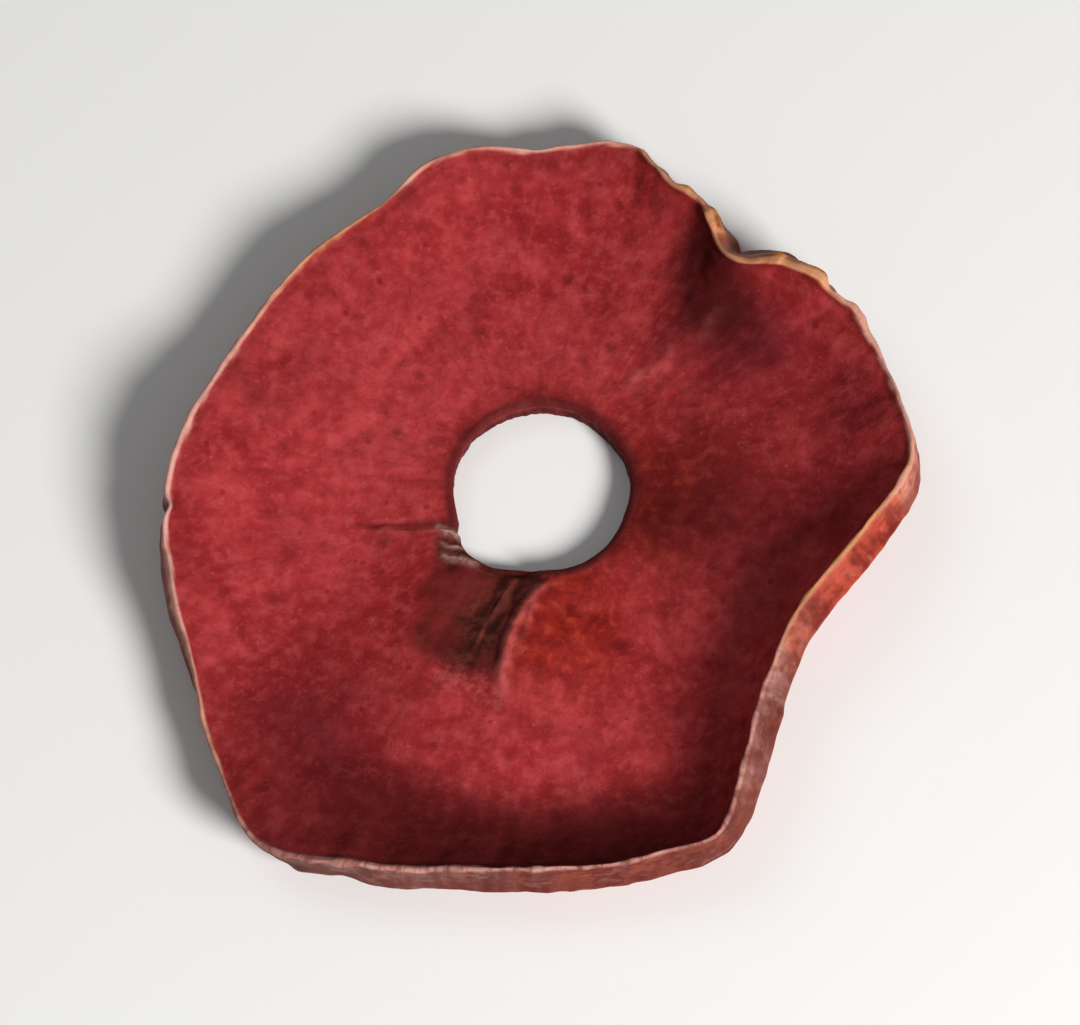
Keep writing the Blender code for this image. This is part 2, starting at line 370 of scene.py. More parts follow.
def slice_grid():
    prof = fine_profile()
    rows = len(prof)
    az_line = np.arange(COLUMNS) * (2.0 * math.pi / COLUMNS) - math.pi
    U = np.repeat(prof[:, 0:1], COLUMNS, axis=1)
    V = np.repeat(prof[:, 1:2], COLUMNS, axis=1)
    SIDE = np.repeat(prof[:, 2:3], COLUMNS, axis=1).astype(int)
    AZ = np.repeat(az_line[None, :], rows, axis=0)

    base = sheet_point(U, V, AZ)
    mid = middle(U, AZ)
    x, y = mid[..., 0], mid[..., 1]

    # distances along the sheet, mm
    reach, turn, band, start = (section(AZ, c) for c in (1, 2, 3, 4))
    flat_end = reach - band * band_run(np.ones_like(AZ), turn, start)[0]
    hole = core_edge(AZ)
    q = np.clip(U / FLAT_SHARE, 0.0, 1.0)
    vb = np.clip((U - FLAT_SHARE) / (1.0 - FLAT_SHARE), 0.0, 1.0)
    from_hole = q * (flat_end - hole) + band * vb
    from_peel = (1.0 - q) * (flat_end - hole) + band * (1.0 - vb)

    # a run round the peel, so that wrinkles keep their size along it
    edge = middle(np.ones(COLUMNS), az_line)
    step = np.linalg.norm(np.roll(edge, -1, axis=0) - edge, axis=1)
    run = np.concatenate(([0.0], np.cumsum(step)))
    total = run[-1]
    turn_at = 2.0 * math.pi * run[:-1] / total
    wheel = total / (2.0 * math.pi)
    WX = np.repeat((wheel * np.cos(turn_at))[None, :], rows, axis=0)
    WY = np.repeat((wheel * np.sin(turn_at))[None, :], rows, axis=0)

    top = (SIDE == 2).astype(float)
    under = (SIDE == 0).astype(float)
    peel_side = (SIDE == 1).astype(float)
    hole_side = (SIDE == 3).astype(float)

    normal = grid_normals(base)
    if (normal[..., 2] * top).sum() < 0.0:
        normal = -normal

    # ---- outline: the peel's edge wanders a little, and so does the hole's ----
    streak = np.stack((WX, WY, from_peel * 0.18 + V * 0.8), axis=-1)
    wander = layered(np.stack((WX, WY, np.zeros_like(WX)), axis=-1), 5.0, 3, 3)
    out_dir = np.stack((np.cos(AZ), np.sin(AZ), np.zeros_like(AZ)), axis=-1)
    rim_w = np.exp(-np.clip(from_peel, 0.0, None) / 1.6)
    rag = np.stack((8.0 * np.cos(AZ), 8.0 * np.sin(AZ), V * 1.6 + 9.0), axis=-1)
    hole_w = np.exp(-np.clip(from_hole, 0.0, None) / 0.7)
    ragged = 0.10 * layered(rag, 2.6, 11, 3, 0.6) + 0.12 * noise(rag, 5.0, 12)
    shift = out_dir * (0.20 * wander * rim_w)[..., None]
    nick = bell(turned(AZ, -174.0) / 1.3)
    shift = shift - out_dir * (0.50 * nick * rim_w)[..., None]
    ragged = ragged - 0.42 * bell(np.degrees(AZ) / 42.0)
    shift = shift + out_dir * (ragged * hole_w)[..., None]

    degrees = np.degrees(AZ)

    def sector(centre, half, soft):
        """Share of a stretch of the rim, with soft ends."""
        away = np.abs((degrees - centre + 180.0) % 360.0 - 180.0)
        return 1.0 - ease((away - half + 0.5 * soft) / soft)

    # the peel is rounded: its lower edge is drawn in, most where it is thinnest
    tangent = middle(np.minimum(U + 0.01, 1.0), AZ) - middle(np.maximum(U - 0.01, 0.0), AZ)
    tangent /= np.linalg.norm(tangent, axis=-1, keepdims=True)
    ring = np.stack((WX, WY, np.zeros_like(WX)), axis=-1)
    lumps = noise(ring, 2.5, 33) + 0.5 * noise(ring, 1.2, 34)
    drawn = 0.20 + 0.62 * sector(54.0, 30.0, 16.0) + 0.30 * sector(140.0, 50.0, 30.0) \
        + 0.30 * sector(8.0, 16.0, 14.0) + 0.60 * sector(-41.0, 5.0, 9.0) \
        + 0.55 * sector(-135.0, 16.0, 16.0) + 0.40 * sector(-66.0, 6.0, 12.0)
    drawn = drawn + 0.30 * sector(-100.0, 34.0, 14.0) * (0.5 + noise(ring, 3.4, 35))
    low_part = ease((0.34 - V) / 0.84)
    shift = shift - tangent * (drawn * low_part * (1.0 + 0.35 * lumps)
                               * np.exp(-np.clip(from_peel, 0.0, None) / 1.0))[..., None]
    swollen = 0.30 * sector(50.0, 24.0, 14.0) + 0.12 + 0.16 * sector(-105.0, 20.0, 20.0)
    shift = shift + tangent * (swollen * lumps * bell((V - 0.25) / 0.35)
                               * np.exp(-np.clip(from_peel, 0.0, None) / 0.5))[..., None]

    # swollen knobs of peel beside the dent, with gaps between them
    knobs = np.zeros_like(AZ)
    for centre, half, high in ((57.0, 2.4, 0.75), (44.5, 3.2, 1.0), (37.2, 2.3, 0.85), (30.5, 3.6, 0.60)):
        knobs = np.maximum(knobs, high * bell(((degrees - centre + 180.0) % 360.0 - 180.0) / half))
    knobs = knobs * (0.90 + 0.25 * lumps)
    shift = shift + tangent * (0.62 * knobs * bell((V - 0.22) / 0.45)
                               * np.exp(-np.clip(from_peel, 0.0, None) / 0.55))[..., None]

    # ---- relief along the surface normal ----
    relief = np.zeros_like(AZ)
    face = top + under

    # soft cockling of the dried flesh, its own on each side
    which = np.stack((base[..., 0], base[..., 1], base[..., 2] + 30.0 * under), axis=-1)
    broad = layered(which, 11.0, 20, 2)
    soft = layered(which, 5.5, 21, 2)
    pucker = layered(which, 2.4, 22, 2)
    grain = layered(which, 1.10, 23, 2, 0.6)
    relief += face * (0.24 * broad + 0.19 * soft + 0.100 * pucker + 0.045 * grain)
    # radial wrinkles that run in from the peel
    folds = noise(streak, 2.3, 31)
    folds2 = noise(streak, 1.1, 32)
    near = np.exp(-from_peel / 3.2)
    relief += face * near * (0.15 * folds + 0.07 * folds2)
    long_folds = np.clip(ridged(streak, 6.0, 38) - 0.55, 0.0, 1.0) * np.exp(-from_peel / 7.0) \
        * ease(from_peel / 2.0)
    relief -= face * 0.34 * long_folds
    # flesh has shrunk away beside the peel, which stands as a thin lip
    relief -= face * 0.11 * bell((from_peel - 0.85) / 0.45)
    relief += face * 0.09 * bell((from_peel - 0.12) / 0.26)
    relief += face * 0.05 * bell((from_hole - 1.6) / 0.8)
    # the lip swells in lumps beside the dent, less so elsewhere
    lumpy = 0.10 + 0.90 * sector(52.0, 24.0, 14.0) + 0.35 * sector(-30.0, 26.0, 14.0) \
        + 0.45 * sector(-104.0, 22.0, 20.0)
    relief += 0.24 * lumpy * lumps * np.exp(-from_peel / 0.9) * (top - 0.4 * under)
    relief += 0.30 * knobs * np.exp(-from_peel / 0.7) * top
    # small pits where the flesh's larger cells have collapsed
    pits = np.zeros_like(AZ)
    for side, seed, count in ((top, 41, 120), (under, 42, 90)):
        a0, u0, rng = scattered(seed, count, 0.06, 0.97)
        centre = middle(u0, a0)
        size = rng.uniform(0.30, 0.62, count)
        depth = rng.uniform(0.3, 1.0, count)
        for c, s_, d in zip(centre, size, depth):
            r2 = (x - c[0]) ** 2 + (y - c[1]) ** 2 + (mid[..., 2] - c[2]) ** 2
            pits = np.maximum(pits, side * d * np.exp(-r2 / (s_ * s_)))
    relief -= 0.13 * pits
    # the ends of the core's vessels: a ring of small dimples half way out
    vessels = np.zeros_like(AZ)
    for a0, r0, s0 in ((112.0, 15.2, 0.55), (66.0, 14.0, 0.50), (22.0, 13.2, 0.60),
                       (-13.0, 12.2, 0.65), (-47.0, 14.6, 0.55), (-66.0, 15.6, 0.85),
                       (-160.0, 14.2, 0.60), (158.0, 13.4, 0.55), (136.0, 14.6, 0.45),
                       (-28.0, 15.8, 0.45), (-80.0, 11.4, 0.60), (84.0, 19.6, 0.45)):
        cx, cy = r0 * math.cos(math.radians(a0)), r0 * math.sin(math.radians(a0))
        r2 = (x - cx) ** 2 + (y - cy) ** 2
        vessels = np.maximum(vessels, face * np.exp(-r2 / (s0 * s0)))
    relief -= 0.10 * vessels

    # ---- seed pocket: steep on its right, where the cell's wall stands up ----
    in_pocket = pocket(x, y) * top
    p, qq, share = pocket_frame(x, y)
    # drying has drawn the cell's wall back a little to the right
    right_side = POCKET_RIGHT[0] + POCKET_RIGHT[1] * (p - POCKET_RIGHT[2]) ** 2 + 0.62
    left_side = POCKET_LEFT[0] + POCKET_LEFT[1] * (p - POCKET_LEFT[2]) ** 2
    share = (qq - left_side) / np.maximum(right_side - left_side, 0.5)
    from_ridge = qq - right_side
    wide = ease(share / 0.80) * (1.0 - ease((share - 0.80) / 0.22)) * ease((p - POCKET[1]) / 1.5) \
        * (1.0 - ease((p - POCKET[2]) / (POCKET[3] - POCKET[2]))) * top
    relief -= 0.85 * POCKET[4] * (wide - in_pocket)
    in_pocket = wide
    wob = 0.22 * noise(np.stack((p, np.zeros_like(p), np.zeros_like(p)), axis=-1), 2.2, 50)
    length_on = ease((p - 7.4) / 1.6) * (1.0 - ease((p - 17.4) / 3.0))
    ridge = top * bell((from_ridge + wob - 0.10) / (0.56 + 0.14 * noise(which, 1.8, 55))) * length_on
    relief += ridge * (0.12 + 0.10 * noise(which, 1.2, 51))
    # its floor rises again beside the ridge, in lines that run out with it
    relief += 0.42 * in_pocket * bell((share - 0.82) / 0.20)
    second = top * bell((qq - 3.0 - wob) / 0.30) * ease((p - 9.2) / 1.6) * (1.0 - ease((p - 13.6) / 2.0))
    relief += 0.10 * second
    edges = top * (bell((from_ridge + 1.60 + 1.4 * wob) / 0.36) * ease((p - 9.2) / 1.4) * (1.0 - ease((p - 11.2) / 1.8))
                   + 0.6 * bell((from_ridge + 2.5 - 1.6 * wob) / 0.34) * ease((p - 11.4) / 1.4) * (1.0 - ease((p - 14.2) / 2.4)))
    relief += 0.12 * edges
    beside_ridge = top * bell((from_ridge + 0.80 - wob) / (0.30 + 0.10 * noise(which, 1.6, 59))) \
        * ease((p - 8.4) / 1.2) * (1.0 - ease((p - 15.0) / 2.6))
    relief -= 0.10 * beside_ridge
    lines = np.stack((qq + 0.12 * (p - 13.0), p * 0.14, np.zeros_like(p)), axis=-1)
    relief += in_pocket * (0.16 * noise(lines, 0.95, 52) + 0.07 * noise(lines, 0.5, 53))
    # the cell is cut through below as well, where only its shallow end shows
    below = under * pocket(x * 1.06, y * 1.10 + 0.8)
    relief -= 0.34 * below
    relief += below * (0.14 * noise(lines, 1.1, 56) + 0.06 * noise(lines, 0.5, 57))
    rim_below = under * bell((share - 1.0) / 0.10) * length_on
    relief += 0.14 * rim_below
    # the underside is more cockled, with a few folds that run out from the core
    fold_a = np.stack((10.0 * np.cos(AZ), 10.0 * np.sin(AZ), from_hole * 0.10 + 40.0), axis=-1)
    spoke = np.clip(ridged(fold_a, 4.2, 58) - 0.45, 0.0, 1.0) * ease((from_hole - 1.0) / 4.0)
    relief += under * (0.12 * broad + 0.12 * soft + 0.05 * pucker - 0.30 * spoke)
    # its outer end breaks up into pale crumbs
    crumbs = top * bell((p - 19.2) / 1.4) * ease((share - 0.05) / 0.3) * (1.0 - ease((share - 0.95) / 0.2))
    relief += crumbs * 0.16 * noise(which, 0.9, 54)

    # ---- slit: a narrow V that opens at the hole ----
    along, across, length = beside(x, y, SLIT[:2])
    zero = np.zeros_like(along)
    line_s = np.stack((along, zero, zero), axis=-1)
    at_slit = across - 0.75 + 0.28 * noise(line_s, 3.1, 61) + 0.16 * noise(line_s, 1.2, 65)
    wide_s = 0.22 + 0.34 * (1.0 - ease((along - 4.2) / 1.6))
    run_s = ease((along - 1.2) / 1.0) * (1.0 - ease((along - length + 2.8) / 3.4))
    slit_line = top * run_s * bell(at_slit / wide_s) \
        * np.clip(0.90 + 0.35 * noise(line_s, 1.5, 63), 0.0, 1.0)
    slit_mouth = top * bell((at_slit + 0.15) / 0.62) * ease((along - 1.6) / 0.8) * (1.0 - ease((along - 4.4) / 1.2))
    relief += 0.25 * slit(x, y) * top
    relief -= 0.24 * slit_line + 0.08 * slit_mouth
    # beside it the hole's edge is hollowed, with pale ribs of core lining across
    edge_s = 0.35 * noise(which, 1.4, 69)
    hollow_and_shade = (top + hole_side) * np.exp(-np.hypot((x + 7.5 + edge_s) / 1.75, (y + 5.3 + edge_s) / 2.25) ** 4)
    relief -= 0.30 * hollow_and_shade
    ribs = np.zeros_like(x)
    for (x0, y0), (x1, y1), width, share_r in (((-9.1, -3.2), (-6.2, -4.7), 0.32, 1.0),
                                               ((-8.8, -4.7), (-6.2, -5.6), 0.20, 0.65),
                                               ((-8.7, -5.9), (-5.0, -6.9), 0.32, 0.9)):
        la, lc, ll = beside(x, y, ((x0, y0), (x1, y1)))
        line_r = np.stack((la, zero + x0, zero), axis=-1)
        lc = lc + 0.30 * noise(line_r, 1.9, 72) - 0.22 * np.sin(math.pi * np.clip(la / ll, 0.0, 1.0))
        here = ease(la / 0.6) * (1.0 - ease((la - ll + 0.9) / 0.9)) * bell(lc / width)
        ribs = np.maximum(ribs, share_r * here * (0.80 + 0.35 * noise(line_r, 0.8, 73)))
    ribs = ribs * np.clip(top + hole_side, 0.0, 1.0)
    relief += 0.38 * ribs
    slit_lip = top * run_s * bell((at_slit + 0.62) / 0.34)
    relief += 0.07 * slit_lip + 0.04 * top * run_s * bell((at_slit - 0.6) / 0.34)
    # ---- crease towards the dent: a raised fold with a dip beside it; the masks paint a highlight on the fold and shade in the dip ----
    along, across, length = beside(x, y, CREASE[:2])
    line_c = np.stack((along, zero + 5.0, zero), axis=-1)
    wob = 0.75 * noise(line_c, 3.5, 62) + 0.30 * noise(line_c, 1.3, 66)
    run_c = ease((along + 0.6) / 1.6) * (1.0 - ease((along - length + 1.5) / 4.0))
    relief -= 0.14 * top * run_c * bell(across / 1.1)
    crease = top * run_c * bell((across + wob) / (0.46 + 0.20 * noise(line_c, 2.0, 67))) \
        * np.clip(0.72 + 0.55 * noise(line_c, 1.7, 68), 0.0, 1.0) * (1.0 - 0.55 * ease((along - 4.0) / 3.0))
    relief += 0.07 * crease
    crease_dip = top * run_c * bell((across + wob - 1.0) / 0.7)
    relief -= 0.10 * crease_dip

    # ---- hole wall: torn fibres across the thickness ----
    fibre = np.stack((rag[..., 0], rag[..., 1], V * 0.5), axis=-1)
    wall_share = hole_side * ease((0.36 - V) / 0.30)
    relief += wall_share * (0.13 * layered(fibre, 0.9, 71, 2, 0.6) - 0.10 * (1.0 - (2 * V) ** 2))
    # ---- peel: cross wrinkles, drawn-in middle, small lenticels ----
    wall = np.stack((WX, WY, V * 0.9), axis=-1)
    cross = ridged(wall, 1.9, 81)
    cross2 = noise(wall, 0.85, 82)
    swell = noise(np.stack((WX, WY, V * 1.4), axis=-1), 3.2, 84)
    uneven = 0.5 + 0.5 * noise(ring, 5.5, 85)
    rimwise = ridged(np.stack((WX * 0.26, WY * 0.26, V * 2.4), axis=-1), 1.5, 86)
    relief += peel_side * (0.060 * cross * uneven + 0.075 * rimwise + 0.035 * cross2 + 0.12 * swell
                           - 0.13 * (1.0 - (2.0 * V) ** 2))
    lent = np.zeros_like(AZ)
    rng = np.random.default_rng(83)
    for _ in range(72):
        col = rng.uniform(0.0, total)
        at_v = rng.uniform(-0.36, 0.36)
        s_ = rng.uniform(0.16, 0.28)
        cx, cy = wheel * math.cos(2 * math.pi * col / total), wheel * math.sin(2 * math.pi * col / total)
        r2 = (WX - cx) ** 2 + (WY - cy) ** 2 + ((V - at_v) * 2.3) ** 2
        lent = np.maximum(lent, peel_side * np.exp(-r2 / (s_ * s_)))
    relief -= 0.05 * lent

    grid = base + shift + normal * relief[..., None]
    grid = grid + SEAT
    low = V < 0.0
    grid[..., 2] = np.where(low, np.maximum(grid[..., 2], 0.0), grid[..., 2])

    # ---- masks for the material ----
    wobble = 0.14 * noise(np.stack((WX, WY, V), axis=-1), 1.7, 91)
    broad_lip = 0.24 * sector(168.0, 24.0, 16.0) + 0.16 * sector(-106.0, 18.0, 14.0)
    skin_line = face * (1.0 - ease((from_peel - 0.26 - broad_lip - wobble) / 0.20))
    lip = np.clip(peel_side * ease((np.abs(V) - 0.34) / 0.10) + skin_line, 0.0, 1.0)
    blur = 0.5 + 0.5 * layered(which, 8.0, 92, 2)
    # juicier, more orange flesh by the hole and right of the pocket
    def patch(cx, cy, rx, ry):
        return bell(np.hypot((x - cx) / rx, (y - cy) / ry))

    glow = np.minimum(1.50 * patch(1.2, -12.8, 4.3, 5.4), 0.92) + 0.80 * patch(9.8, -2.2, 3.2, 5.6) \
        + 0.35 * patch(13.5, 0.0, 4.0, 4.0) + 0.25 * bell((from_hole - 0.8) / 1.4)
    glow = glow * (0.80 + 0.45 * noise(which, 3.2, 96))
    # painted light: flesh painted paler above and left of the hole, below the pocket and on the right below the
    # standing flap
    pale_and_lit_flesh = 1.10 * patch(0.0, -18.8, 7.0, 3.6) + 0.80 * patch(-12.5, 3.5, 6.5, 7.5) \
        + 0.90 * patch(0.5, 11.6, 8.5, 4.4) + 0.55 * patch(-15.0, 14.0, 8.0, 7.0) \
        + 0.35 * patch(-19.0, -4.0, 6.0, 8.0) + 0.85 * patch(18.0, -9.5, 5.0, 7.0)
    # darker flesh towards the standing rim on the right, under the dent and in front: painted shade at the rims' foot,
    # with some denser flesh
    rr = np.hypot(x, y)
    dense_and_shade = 0.74 * patch(13.5, -1.5, 5.0, 6.0) + 1.10 * patch(13.8, 19.6, 2.6, 4.6) \
        + 1.05 * patch(15.4, 16.0, 3.2, 3.2) + 0.28 * patch(21.0, 7.0, 8.0, 8.0) \
        + 0.55 * patch(9.4, -3.0, 2.6, 5.0) \
        + sector(-96.0, 30.0, 36.0) * ease((rr - 25.5) / 6.0) * 0.92 \
        + 0.24 * patch(-19.0, -20.0, 8.0, 7.0)
    # the peel's tints drift into each other along the rim
    drift = 9.0 * noise(ring, 6.5, 36) + 5.0 * noise(np.stack((WX, WY, V * 2.0), axis=-1), 1.8, 37)

    def tint(centre, half, soft):
        away = np.abs((degrees + drift - centre + 180.0) % 360.0 - 180.0)
        return 1.0 - ease((away - half + 0.5 * soft) / soft)

    # the lining's colour runs right up to the pocket's soft left side
    ragged_share = share + 0.10 * noise(which, 2.6, 93) + 0.05 * noise(which, 1.1, 94)
    lined = top * ease((ragged_share + 0.08) / 0.24) * (1.0 - ease((share - 0.95) / 0.07)) \
        * ease((p - 5.0) / 1.4) * (1.0 - ease((p + 0.6 * noise(which, 1.6, 95) - 16.9) / 2.4))
    # painted shade in the pocket's recess, darkest towards its right side, with a few darker spots
    shaded = top * ease((ragged_share - 0.30) / 0.46) * (1.0 - ease((share - 0.96) / 0.05)) \
        * ease((p - 6.0) / 2.0) * (1.0 - ease((p - 13.8) / 4.0))
    shaded = np.clip(0.85 * shaded + top * (0.90 * patch(-6.6, -15.8, 1.5, 1.2) + 0.55 * patch(-5.4, -13.2, 1.3, 1.6)
                                     + 0.35 * patch(-7.2, -11.8, 1.1, 0.9)), 0.0, 1.0)
    masks = {
        "peel": np.clip(peel_side + skin_line, 0.0, 1.0),
        "lip": lip,
        "near_peel": face * np.exp(-np.clip(from_peel, 0.0, None) / 2.2),
        # painted shade on the hole's rolled edge and on its torn wall
        "shaded_hole_edge": np.clip(hole_side * (1.0 - wall_share) + 0.85 * face * np.exp(-np.clip(from_hole - 0.62, 0.0, None) / 0.42), 0.0, 1.0),
        "shaded_hole_wall": wall_share,
        "core": face * (1.0 - ease((from_hole - 3.0) / 8.0)),
        "glow": np.clip(top * glow + under * (0.65 * bell((from_hole - 0.5) / 3.0) + 0.8 * patch(3.5, -12.0, 3.4, 4.4)), 0.0, 1.0),
        # painted light on top; paler flesh at random on the underside
        "pale_and_lit_flesh": np.clip(pale_and_lit_flesh * top + under * np.clip((blur - 0.42) * 3.2, 0.0, 0.9), 0.0, 1.0),
        # painted shade at the rims' foot and denser flesh on top; darker at random and painted shade in the folds on
        # the underside
        "dense_and_shade": np.clip(dense_and_shade * top + under * (np.clip((0.50 - blur) * 1.8, 0.0, 0.50) + 0.5 * spoke), 0.0, 1.0),
        "pocket": np.clip(lined + 0.85 * ease(below / 0.35), 0.0, 1.0),
        # painted shade in the pocket and on the hole's edge beside it
        "deep_shade": np.clip(shaded + 0.85 * hole_side * (1.0 - wall_share) * sector(-122.0, 20.0, 14.0), 0.0, 1.0),
        "crumbs": crumbs,
        # painted highlight on the ridges and the crease, partly paler tissue
        "pale_ridge_and_highlight": np.clip(0.9 * ridge + 0.7 * rim_below + 0.30 * second + 0.30 * edges + 0.60 * crease + 0.35 * slit_lip, 0.0, 1.0),
        # painted shade in the slit, in the dips beside the crease and ridge and in the rim's nick
        "groove_shade": np.clip(1.20 * np.maximum(slit_line, 0.75 * slit_mouth) + 0.45 * crease_dip + 0.50 * beside_ridge + nick * rim_w, 0.0, 1.2),
        # painted shade in the hollow beside the slit
        "hollow_and_shade": np.clip(hollow_and_shade, 0.0, 1.0),
        "ribs": np.clip(ribs, 0.0, 1.0),
        "bruised": np.clip(top * (patch(18.0, 12.5, 3.6, 3.2) + 0.5 * patch(12.0, 13.5, 2.6, 2.4)
                                  + 0.5 * patch(-19.0, -21.0, 6.0, 5.0)), 0.0, 1.0),
        "spots": np.clip(0.75 * pits + vessels, 0.0, 1.0),
        "lenticel": lent,
        "gold": np.clip(tint(50.0, 24.0, 20.0) + 0.8 * tint(132.0, 16.0, 22.0)
                        + 0.25 * tint(-150.0, 14.0, 20.0), 0.0, 1.0),
        "blush": np.clip(tint(-22.0, 16.0, 18.0), 0.0, 1.0),
        "ruddy": np.clip(tint(-77.0, 13.0, 16.0) + 0.6 * tint(-57.0, 4.0, 12.0), 0.0, 1.0),
        "mauve": np.clip(tint(-92.0, 46.0, 24.0), 0.0, 1.0),
        "ashen": np.clip(tint(-48.0, 6.0, 12.0) + 0.32 * tint(-106.0, 13.0, 18.0), 0.0, 1.0),
        "lumps": np.clip((0.5 + 0.7 * lumps) * (1.0 - sector(44.0, 20.0, 8.0))
                         + (0.12 + 0.88 * knobs) * sector(44.0, 20.0, 8.0), 0.0, 1.0),
        "rosy": np.clip(tint(176.0, 30.0, 28.0) + 0.7 * tint(12.0, 12.0, 20.0)
                        + 0.5 * tint(96.0, 14.0, 20.0), 0.0, 1.0),
        "streak_x": WX, "streak_y": WY, "outward": from_hole,
        "across_peel": V,
    }
    return grid, prof, masks, (from_hole, from_peel, run, total, az_line)


def add_faces_mesh(name, grid, prof, masks, facts):
    rows, cols = grid.shape[:2]
    verts = grid.reshape(-1, 3) * MM
    i = np.arange(rows)[:, None]
    j = np.arange(cols)[None, :]
    i2, j2 = (i + 1) % rows, (j + 1) % cols
    quads = np.stack((i * cols + j, i * cols + j2, i2 * cols + j2, i2 * cols + j),
                     axis=-1).reshape(-1, 4)
    # outward faces
    a, b, c, d = (verts[quads[:, k]] for k in range(4))
    volume = (np.einsum("ij,ij->i", a, np.cross(b, c)) + np.einsum("ij,ij->i", a, np.cross(c, d))).sum()
    flip = volume < 0.0
    if flip:
        quads = quads[:, ::-1]
    mesh = bpy.data.meshes.new(name)
    mesh.vertices.add(len(verts))
    mesh.vertices.foreach_set("co", verts.ravel())
    mesh.loops.add(quads.size)
    mesh.loops.foreach_set("vertex_index", quads.ravel().astype(np.int32))
    mesh.polygons.add(len(quads))
    mesh.polygons.foreach_set("loop_start", np.arange(0, quads.size, 4, dtype=np.int32))
    mesh.polygons.foreach_set("loop_total", np.full(len(quads), 4, dtype=np.int32))
    mesh.update(calc_edges=True)
    mesh.validate()
    mesh.polygons.foreach_set("use_smooth", np.ones(len(quads), dtype=bool))
    for key, value in masks.items():
        layer = mesh.attributes.new(key, "FLOAT", "POINT")
        layer.data.foreach_set("value", value.ravel().astype(np.float32))

    # one flat chart for each side: two discs, and strips for peel and hole wall
    from_hole, from_peel, run, total, az_line = facts
    side_of_row = prof[:, 2].astype(int)
    uv_layer = mesh.uv_layers.new(name="OFBake")
    row_a = np.repeat(np.arange(rows), cols)
    col_a = np.tile(np.arange(cols), rows)
    corner_rows = np.stack((row_a, row_a, row_a + 1, row_a + 1), axis=-1)
    corner_cols = np.stack((col_a, col_a + 1, col_a + 1, col_a), axis=-1)
    if flip:
        corner_rows, corner_cols = corner_rows[:, ::-1], corner_cols[:, ::-1]
    rr, cc = corner_rows % rows, corner_cols % cols
    start_side = side_of_row[row_a]
    end_side = side_of_row[(row_a + 1) % rows]
    chart = np.where((start_side == 0) & (end_side == 0), 0,
                     np.where((start_side == 2) & (end_side == 2), 2,
                              np.where((start_side == 3) | (end_side == 3), 3, 1)))
    chart = np.where((start_side == 0) & (end_side == 1), 1, chart)
    chart = np.where((start_side == 1) | (end_side == 1), 1, chart)
    disc = 0.0062         # share of the map per mm on the two discs
    rad = CORE_RADIUS + from_hole[rr, cc]
    ang = az_line[cc]
    du = rad * np.cos(ang) * disc
    dv = rad * np.sin(ang) * disc
    uv = np.zeros((len(quads), 4, 2))
    for which, centre in ((0, (0.745, 0.745)), (2, (0.255, 0.745))):
        m = chart == which
        uv[m, :, 0] = centre[0] + du[m]
        uv[m, :, 1] = centre[1] + dv[m]
    # height along the cross-section for the strips
    section_len = np.zeros(rows + 1)
    thick = 2.3
    pu = prof[:, 0] * 25.0
    pv = prof[:, 1] * thick
    hop = np.hypot(np.roll(pu, -1) - pu, np.roll(pv, -1) - pv)
    section_len[1:] = np.cumsum(hop)
    height = section_len[corner_rows]
    strip = 0.0062 * 1.15
    for which, pieces, base_v, length in ((1, 4, 0.02, total), (3, 1, 0.20, 2 * math.pi * 7.6)):
        m = chart == which
        first = np.where(chart == which)[0]
        h0 = height[first].min()
        per = cols // pieces
        block = (col_a[m] // per)
        local = (corner_cols[m] - block[:, None] * per) / per
        uv[m, :, 0] = 0.02 + local * (length / pieces) * strip
        uv[m, :, 1] = base_v + block[:, None] * 0.045 + (height[m] - h0) * strip * 1.6
    uv_layer.data.foreach_set("uv", uv.reshape(-1, 2).ravel().astype(np.float32))
    obj = bpy.data.objects.new(name, mesh)
    bpy.context.scene.collection.objects.link(obj)
    return obj


